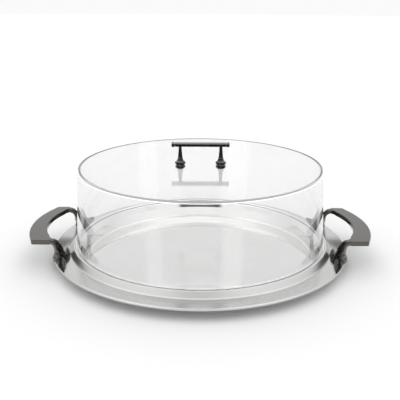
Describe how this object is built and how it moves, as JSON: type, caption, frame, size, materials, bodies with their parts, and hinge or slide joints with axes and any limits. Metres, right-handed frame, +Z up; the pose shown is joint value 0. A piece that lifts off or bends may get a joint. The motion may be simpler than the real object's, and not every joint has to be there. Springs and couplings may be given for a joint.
{
  "type": "cheese dome",
  "caption": "Round metal serving tray with two cast side handles and a clear flat-topped lift-off cover with a bar handle, for keeping cheese.",
  "frame": {"origin": "centre of the tray's flat underside, on the surface it stands on", "axes": "+Z up, +X to the right along the line through both side handles, +Y towards the back"},
  "size_m": [0.4018, 0.35, 0.1385],
  "materials": {
    "polished_steel": "mirror-polished stainless steel sheet",
    "clear_acrylic": "clear glossy acrylic",
    "dark_cast_metal": "dark plated gunmetal casting, polished",
    "dark_turned_metal": "dark plated gunmetal, turned and polished",
    "steel_fastener": "plain machined steel",
    "clear_washer": "clear soft plastic"
  },
  "bodies": {
    "base": {"tray": "polished_steel", "left_handle": "dark_cast_metal", "left_handle_screw_front": "steel_fastener", "left_handle_washer_front": "steel_fastener", "left_handle_screw_back": "steel_fastener", "left_handle_washer_back": "steel_fastener", "right_handle": "dark_cast_metal", "right_handle_screw_front": "steel_fastener", "right_handle_washer_front": "steel_fastener", "right_handle_screw_back": "steel_fastener", "right_handle_washer_back": "steel_fastener"},
    "cover": {"cover_shell": "clear_acrylic", "grip_bar": "dark_turned_metal", "grip_bar_cap_left": "dark_turned_metal", "grip_bar_cap_right": "dark_turned_metal", "grip_post_left": "dark_turned_metal", "grip_flange_left": "dark_turned_metal", "grip_gasket_left": "clear_washer", "grip_washer_left": "clear_washer", "grip_nut_left": "dark_turned_metal", "grip_post_right": "dark_turned_metal", "grip_flange_right": "dark_turned_metal", "grip_gasket_right": "clear_washer", "grip_washer_right": "clear_washer", "grip_nut_right": "dark_turned_metal"}
  },
  "joints": [
    {"name": "cover_lift", "type": "slide", "parent": "base", "child": "cover", "axis": [0, 0, 1], "range_m": [0, 0.15]}
  ]
}
